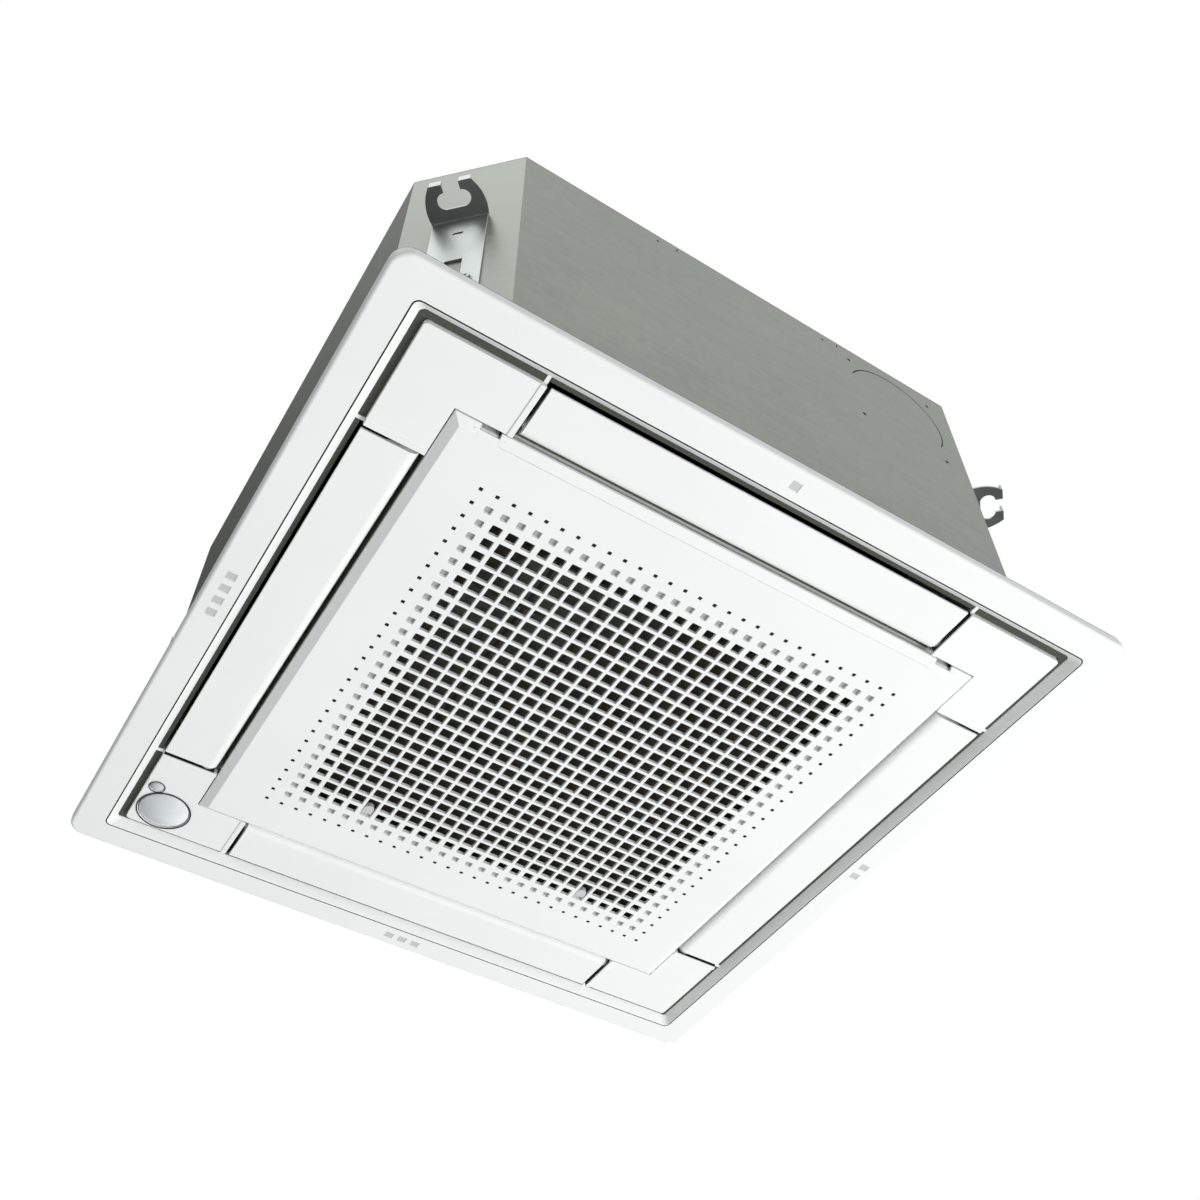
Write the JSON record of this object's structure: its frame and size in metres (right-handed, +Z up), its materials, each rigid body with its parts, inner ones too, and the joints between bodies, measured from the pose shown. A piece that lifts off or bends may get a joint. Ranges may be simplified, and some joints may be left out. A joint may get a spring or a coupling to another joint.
{
  "type": "ceiling cassette air conditioner",
  "caption": "Square ceiling cassette air conditioner: chamfered sheet casing on corner hooks, flat white panel with pivoting air flaps and a perforated intake grille that swings down.",
  "frame": {"origin": "centre of the four suspension hooks, in the plane of their lower faces, on the unit's centre line", "axes": "+Z up towards the top of the casing; +X towards the refrigerant pipes; +Y towards the drain socket and the grille's latches, so the grille's hinge is on the -Y side"},
  "size_m": [0.6475, 0.6475, 0.314],
  "materials": {
    "galvanised_sheet": "spangled zinc, dull",
    "zinc_plated_steel": "bright zinc",
    "white_abs": "moulded, fine satin texture",
    "light_grey_abs": "moulded, satin",
    "foam_liner": "expanded foam",
    "foam_pan": "expanded foam with a moulded skin",
    "fan_plastic": "moulded, satin",
    "bell_plastic": "moulded, satin",
    "motor_enamel": "semi-gloss",
    "fin_aluminium": "stamped foil fins",
    "copper_tube": "drawn, dull",
    "flare_brass": "turned",
    "black_rubber": "moulded",
    "seal_foam": "cellular foam",
    "pump_plastic": "moulded",
    "float_plastic": "foamed",
    "board_laminate": "solder mask",
    "filter_plastic": "moulded",
    "filter_mesh": "woven monofilament",
    "sensor_lens": "polished, translucent",
    "impeller_plastic": "moulded"
  },
  "bodies": {
    "root": {"bell_mouth": "bell_plastic", "bracket_screws": "zinc_plated_steel", "casing_liner": "foam_liner", "casing_top": "galvanised_sheet", "casing_wrap": "galvanised_sheet", "ceiling_seal": "seal_foam", "circuit_board": "board_laminate", "coil_end_plates": "galvanised_sheet", "coil_fins": "fin_aluminium", "coil_tubes": "copper_tube", "control_box": "galvanised_sheet", "control_lid": "galvanised_sheet", "corner_cover_1": "white_abs", "corner_cover_2": "white_abs", "corner_cover_3": "white_abs", "corner_cover_4": "white_abs", "drain_hose": "pump_plastic", "drain_pan": "foam_pan", "drain_pump": "pump_plastic", "drain_socket": "pump_plastic", "duct_seals": "seal_foam", "fan_motor": "motor_enamel", "flap_bushes": "light_grey_abs", "flap_motor_1": "light_grey_abs", "flap_motor_2": "light_grey_abs", "flap_motor_3": "light_grey_abs", "flap_motor_4": "light_grey_abs", "float_switch": "pump_plastic", "gas_flare_nut": "flare_brass", "gas_pipe": "copper_tube", "hanger_bracket_1": "zinc_plated_steel", "hanger_bracket_2": "zinc_plated_steel", "hanger_bracket_3": "zinc_plated_steel", "hanger_bracket_4": "zinc_plated_steel", "liquid_flare_nut": "flare_brass", "liquid_pipe": "copper_tube", "motor_bushes": "black_rubber", "motor_nuts": "zinc_plated_steel", "panel_flange": "white_abs", "panel_frame": "white_abs", "panel_screws": "zinc_plated_steel", "pipe_cover": "galvanised_sheet", "sensor_dome": "sensor_lens", "sensor_spot": "light_grey_abs", "wire_grommet": "black_rubber"},
    "fan": {"fan_wheel": "fan_plastic", "fan_shaft": "zinc_plated_steel", "fan_nut": "zinc_plated_steel"},
    "flap_1": {"flap_1": "white_abs"},
    "flap_2": {"flap_2": "white_abs"},
    "flap_3": {"flap_3": "white_abs"},
    "flap_4": {"flap_4": "white_abs"},
    "grille": {"intake_grille": "white_abs", "grille_pins": "zinc_plated_steel", "air_filter": "filter_plastic", "filter_net": "filter_mesh"},
    "latch_1": {"latch_1": "light_grey_abs"},
    "latch_2": {"latch_2": "light_grey_abs"},
    "float": {"float_ring": "float_plastic"},
    "impeller": {"pump_impeller": "impeller_plastic"}
  },
  "joints": [
    {"name": "fan_spin", "type": "hinge", "parent": "root", "child": "fan", "pos_m": [0, 0, -0.009], "axis": [0, 0, 1], "continuous": true},
    {"name": "flap_1_tilt", "type": "hinge", "parent": "root", "child": "flap_1", "pos_m": [0, -0.2363, -0.198], "axis": [1, 0, 0], "range_deg": [0, 60]},
    {"name": "flap_2_tilt", "type": "hinge", "parent": "root", "child": "flap_2", "pos_m": [0.2363, 0, -0.198], "axis": [0, 1, 0], "range_deg": [0, 60]},
    {"name": "flap_3_tilt", "type": "hinge", "parent": "root", "child": "flap_3", "pos_m": [0, 0.2363, -0.198], "axis": [-1, 0, 0], "range_deg": [0, 60]},
    {"name": "flap_4_tilt", "type": "hinge", "parent": "root", "child": "flap_4", "pos_m": [-0.2363, 0, -0.198], "axis": [0, -1, 0], "range_deg": [0, 60]},
    {"name": "grille_swing", "type": "hinge", "parent": "root", "child": "grille", "pos_m": [0, -0.21853, -0.204], "axis": [-1, 0, 0], "range_deg": [0, 90]},
    {"name": "latch_1_slide", "type": "slide", "parent": "grille", "child": "latch_1", "axis": [0, -1, 0], "range_m": [0, 0.006], "stiffness_N_per_m": 400, "springref_m": -0.002},
    {"name": "latch_2_slide", "type": "slide", "parent": "grille", "child": "latch_2", "axis": [0, -1, 0], "range_m": [0, 0.006], "stiffness_N_per_m": 400, "springref_m": -0.002},
    {"name": "float_rise", "type": "slide", "parent": "root", "child": "float", "axis": [0, 0, 1], "range_m": [0, 0.01]},
    {"name": "impeller_spin", "type": "hinge", "parent": "root", "child": "impeller", "pos_m": [0.2, 0.226, -0.1], "axis": [0, 0, 1], "continuous": true}
  ]
}
